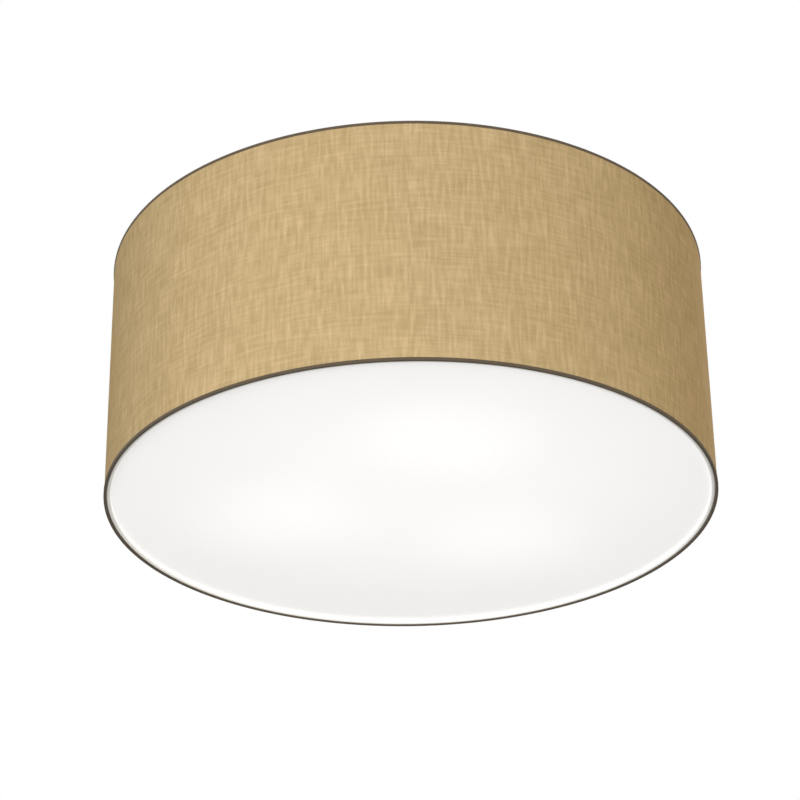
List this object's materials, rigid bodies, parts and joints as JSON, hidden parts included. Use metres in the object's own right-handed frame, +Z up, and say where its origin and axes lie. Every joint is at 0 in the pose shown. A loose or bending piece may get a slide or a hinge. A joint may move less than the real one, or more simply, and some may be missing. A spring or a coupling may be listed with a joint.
{
  "type": "flush mount ceiling light",
  "caption": "Round flush mount ceiling light: slub linen drum shade over screw-in lamps, closed below by a loose opal diffuser; hangs from a steel strap.",
  "frame": {"origin": "middle of the ceiling plane, where the strap and the pan's rim lie on the ceiling", "axes": "+Z up into the ceiling; the light hangs towards -Z; +X along the ceiling strap; the picture looks along +Y from below"},
  "size_m": [0.4999, 0.5, 0.213],
  "materials": {
    "zinc_steel": "zinc-plated, dull",
    "nickel": "nickel-plated, satin",
    "white_enamel": "white powder coat, satin",
    "white_wire": "white dip coat, satin",
    "liner_film": "matt white film",
    "slub_linen": "khaki slub linen, laminated",
    "brown_tape": "dark brown woven tape",
    "grommet_rubber": "matt",
    "clear_nylon": "translucent white nylon",
    "earth_sleeve": "green and yellow sleeve",
    "opal_acrylic": "satin opal sheet",
    "white_bakelite": "moulded, semi-gloss",
    "brass_shell": "stamped, plain",
    "lead_sleeve": "woven white sleeve",
    "black_insulator": "black glass",
    "bulb_plastic": "moulded, satin",
    "bulb_opal": "frosted opal"
  },
  "bodies": {
    "base": {"ceiling_strap": "zinc_steel", "strap_screws": "zinc_steel", "strap_lock_nuts": "zinc_steel", "cap_washers": "nickel", "cap_nuts": "nickel", "base_pan": "white_enamel", "carrier_studs": "zinc_steel", "knurled_nuts": "nickel", "top_ring": "white_wire", "bottom_ring": "white_wire", "spider_arm_1": "white_wire", "spider_arm_2": "white_wire", "spider_arm_3": "white_wire", "shade_liner": "liner_film", "shade_fabric": "slub_linen", "trim_top": "brown_tape", "trim_bottom": "brown_tape", "bracket_screws": "zinc_steel", "bracket_nuts": "zinc_steel", "holder_nipples": "zinc_steel", "nipple_nuts": "zinc_steel", "cable_grommet": "grommet_rubber", "terminal_block": "clear_nylon", "terminal_screws": "zinc_steel", "block_fixing_screw": "zinc_steel", "earth_screw": "zinc_steel", "earth_lug": "nickel", "earth_lead": "earth_sleeve", "lampholder_bracket_1": "zinc_steel", "lampholder_1": "white_bakelite", "screw_shell_1": "brass_shell", "centre_contact_1": "brass_shell", "lead_1": "lead_sleeve", "lampholder_bracket_2": "zinc_steel", "lampholder_2": "white_bakelite", "screw_shell_2": "brass_shell", "centre_contact_2": "brass_shell", "lead_2": "lead_sleeve", "lampholder_bracket_3": "zinc_steel", "lampholder_3": "white_bakelite", "screw_shell_3": "brass_shell", "centre_contact_3": "brass_shell", "lead_3": "lead_sleeve"},
    "diffuser": {"diffuser": "opal_acrylic"},
    "bulb_1_tip": {"bulb_contact_1": "brass_shell", "bulb_insulator_1": "black_insulator"},
    "bulb_1": {"bulb_cap_1": "nickel", "bulb_housing_1": "bulb_plastic", "bulb_globe_1": "bulb_opal"},
    "bulb_2_tip": {"bulb_contact_2": "brass_shell", "bulb_insulator_2": "black_insulator"},
    "bulb_2": {"bulb_cap_2": "nickel", "bulb_housing_2": "bulb_plastic", "bulb_globe_2": "bulb_opal"},
    "bulb_3_tip": {"bulb_contact_3": "brass_shell", "bulb_insulator_3": "black_insulator"},
    "bulb_3": {"bulb_cap_3": "nickel", "bulb_housing_3": "bulb_plastic", "bulb_globe_3": "bulb_opal"}
  },
  "joints": [
    {"name": "diffuser_lift", "type": "slide", "parent": "base", "child": "diffuser", "axis": [0, 0, 1], "range_m": [0, 0.09]},
    {"name": "bulb_1_travel", "type": "slide", "parent": "base", "child": "bulb_1_tip", "axis": [0.2588, -0.9659, 0], "range_m": [0, 0.02904]},
    {"name": "bulb_1_unscrew", "type": "hinge", "parent": "bulb_1_tip", "child": "bulb_1", "pos_m": [0.03054, -0.11398, -0.065], "axis": [0.2588, -0.9659, 0], "range_deg": [0, 2880]},
    {"name": "bulb_2_travel", "type": "slide", "parent": "base", "child": "bulb_2_tip", "axis": [0.7071, 0.7071, 0], "range_m": [0, 0.02904]},
    {"name": "bulb_2_unscrew", "type": "hinge", "parent": "bulb_2_tip", "child": "bulb_2", "pos_m": [0.08344, 0.08344, -0.065], "axis": [0.7071, 0.7071, 0], "range_deg": [0, 2880]},
    {"name": "bulb_3_travel", "type": "slide", "parent": "base", "child": "bulb_3_tip", "axis": [-0.9659, 0.2588, 0], "range_m": [0, 0.02904]},
    {"name": "bulb_3_unscrew", "type": "hinge", "parent": "bulb_3_tip", "child": "bulb_3", "pos_m": [-0.11398, 0.03054, -0.065], "axis": [-0.9659, 0.2588, 0], "range_deg": [0, 2880]}
  ],
  "couplings": [
    {"joint": "bulb_1_travel", "follows": "bulb_1_unscrew", "m_per_rad": 0.00057773},
    {"joint": "bulb_2_travel", "follows": "bulb_2_unscrew", "m_per_rad": 0.00057773},
    {"joint": "bulb_3_travel", "follows": "bulb_3_unscrew", "m_per_rad": 0.00057773}
  ]
}
